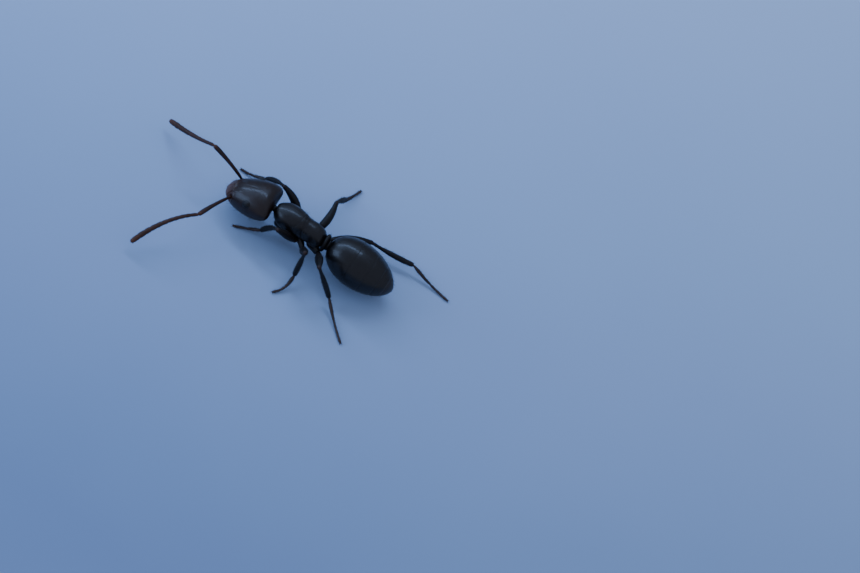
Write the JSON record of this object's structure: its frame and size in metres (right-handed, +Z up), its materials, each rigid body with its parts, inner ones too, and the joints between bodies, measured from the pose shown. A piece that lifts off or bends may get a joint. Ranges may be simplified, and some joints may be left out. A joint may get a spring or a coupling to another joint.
{
  "type": "ant",
  "caption": "Life-size worker ant standing on spread legs with its head tipped forward and bent antennae reaching ahead, a still museum model",
  "frame": {"origin": "middle of the bounding box at floor level, under the body's waist and to its right", "axes": "+X towards the tail, so the ant faces -X; +Y towards its right side; +Z up from the floor it stands on"},
  "size_m": [0.0138, 0.0092, 0.0024],
  "materials": {
    "head_chitin": "smooth dark reddish-brown cuticle, glossy",
    "eye_chitin": "black facetted lens, glossy",
    "mandible_chitin": "reddish-brown cuticle, satin gloss",
    "antenna_chitin": "finely downy reddish-brown cuticle",
    "mesosoma_chitin": "near-black cuticle, glossy with fine microsculpture",
    "petiole_chitin": "near-black cuticle, glossy",
    "gaster_chitin": "black cuticle, high gloss",
    "leg_chitin": "dark brown cuticle, satin gloss",
    "tarsus_chitin": "paler brown, finely downy cuticle"
  },
  "bodies": {
    "root": {"head": "head_chitin", "eye_left": "eye_chitin", "mandible_left": "mandible_chitin", "scape_left": "antenna_chitin", "funiculus_base_left": "antenna_chitin", "funiculus_tip_left": "antenna_chitin", "eye_right": "eye_chitin", "mandible_right": "mandible_chitin", "scape_right": "antenna_chitin", "funiculus_base_right": "antenna_chitin", "funiculus_tip_right": "antenna_chitin", "pronotum": "mesosoma_chitin", "mesonotum": "mesosoma_chitin", "propodeum": "mesosoma_chitin", "petiole": "petiole_chitin", "gaster_segment_1": "gaster_chitin", "gaster_segment_2": "gaster_chitin", "gaster_segment_3": "gaster_chitin", "gaster_segment_4": "gaster_chitin", "gaster_tip": "gaster_chitin", "coxa_front_left": "leg_chitin", "femur_front_left": "leg_chitin", "tibia_front_left": "leg_chitin", "tarsus_front_left": "tarsus_chitin", "coxa_front_right": "leg_chitin", "femur_front_right": "leg_chitin", "tibia_front_right": "leg_chitin", "tarsus_front_right": "tarsus_chitin", "coxa_middle_left": "leg_chitin", "femur_middle_left": "leg_chitin", "tibia_middle_left": "leg_chitin", "tarsus_middle_left": "tarsus_chitin", "coxa_middle_right": "leg_chitin", "femur_middle_right": "leg_chitin", "tibia_middle_right": "leg_chitin", "tarsus_middle_right": "tarsus_chitin", "coxa_hind_left": "leg_chitin", "femur_hind_left": "leg_chitin", "tibia_hind_left": "leg_chitin", "tarsus_hind_left": "tarsus_chitin", "coxa_hind_right": "leg_chitin", "femur_hind_right": "leg_chitin", "tibia_hind_right": "leg_chitin", "tarsus_hind_right": "tarsus_chitin"}
  },
  "joints": []
}
